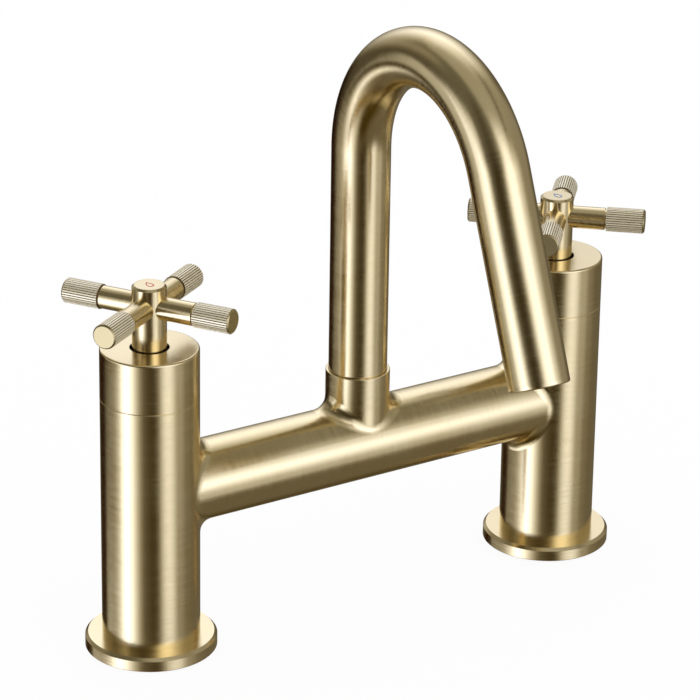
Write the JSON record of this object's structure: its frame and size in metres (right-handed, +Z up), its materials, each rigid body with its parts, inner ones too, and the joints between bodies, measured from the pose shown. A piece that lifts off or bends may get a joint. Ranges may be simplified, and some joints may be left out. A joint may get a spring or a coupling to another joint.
{
  "type": "bath filler tap",
  "caption": "Deck-mounted bridge bath tap: hot and cold pillars with cross handles on quarter-turn valves, joined by a level bridge that carries a swivelling swan-neck spout.",
  "frame": {"origin": "on the top face of the bath's deck, midway between the two pillars", "axes": "+X along the bridge from the hot pillar to the cold one, +Y away from the bath, so the spout reaches along -Y, +Z up"},
  "size_m": [0.2395, 0.1561, 0.2874],
  "materials": {
    "satin_brass": "brushed pale-gold brass, lacquered",
    "plain_brass": "turned, uncoated brass",
    "steel": "stainless steel",
    "black_rubber": "black sealing rubber",
    "white_acetal": "white low-friction plastic",
    "grey_plastic": "grey moulded plastic",
    "fibre": "red-brown vulcanised fibre",
    "ceramic": "lapped white ceramic"
  },
  "bodies": {
    "body": {"bridge_body": "satin_brass", "spout_thrust_washer": "white_acetal", "spout_set_screw": "steel", "hot_base_flange": "satin_brass", "hot_flange_gasket": "black_rubber", "hot_inlet_tail": "plain_brass", "hot_tail_ring": "black_rubber", "hot_deck_washer": "fibre", "hot_back_nut": "plain_brass", "hot_shroud": "satin_brass", "hot_valve_housing": "plain_brass", "hot_bonnet_washer": "fibre", "hot_seat_seal": "black_rubber", "hot_slip_ring": "white_acetal", "hot_fixed_disc": "ceramic", "cold_base_flange": "satin_brass", "cold_flange_gasket": "black_rubber", "cold_inlet_tail": "plain_brass", "cold_tail_ring": "black_rubber", "cold_deck_washer": "fibre", "cold_back_nut": "plain_brass", "cold_shroud": "satin_brass", "cold_valve_housing": "plain_brass", "cold_bonnet_washer": "fibre", "cold_seat_seal": "black_rubber", "cold_slip_ring": "white_acetal", "cold_fixed_disc": "ceramic"},
    "spout": {"spout_tube": "satin_brass", "spout_ferrule": "plain_brass", "spout_ferrule_ring": "black_rubber", "outlet_insert": "plain_brass", "outlet_seal": "black_rubber", "flow_straightener": "grey_plastic"},
    "hot_handle": {"hot_cross": "satin_brass", "hot_grips": "satin_brass", "hot_index_cap": "satin_brass", "hot_handle_screw": "steel", "hot_spindle": "plain_brass", "hot_spindle_rings": "black_rubber", "hot_moving_disc": "ceramic", "hot_stop_ring": "steel", "hot_circlip": "steel"},
    "cold_handle": {"cold_cross": "satin_brass", "cold_grips": "satin_brass", "cold_index_cap": "satin_brass", "cold_handle_screw": "steel", "cold_spindle": "plain_brass", "cold_spindle_rings": "black_rubber", "cold_moving_disc": "ceramic", "cold_stop_ring": "steel", "cold_circlip": "steel"}
  },
  "joints": [
    {"name": "spout_swivel", "type": "hinge", "parent": "body", "child": "spout", "pos_m": [0, 0, 0.0845], "axis": [0, 0, 1], "range_deg": [-60, 60]},
    {"name": "hot_turn", "type": "hinge", "parent": "body", "child": "hot_handle", "pos_m": [-0.09, 0, 0.135], "axis": [0, 0, 1], "range_deg": [0, 90]},
    {"name": "cold_turn", "type": "hinge", "parent": "body", "child": "cold_handle", "pos_m": [0.09, 0, 0.135], "axis": [0, 0, 1], "range_deg": [-90, 0]}
  ]
}
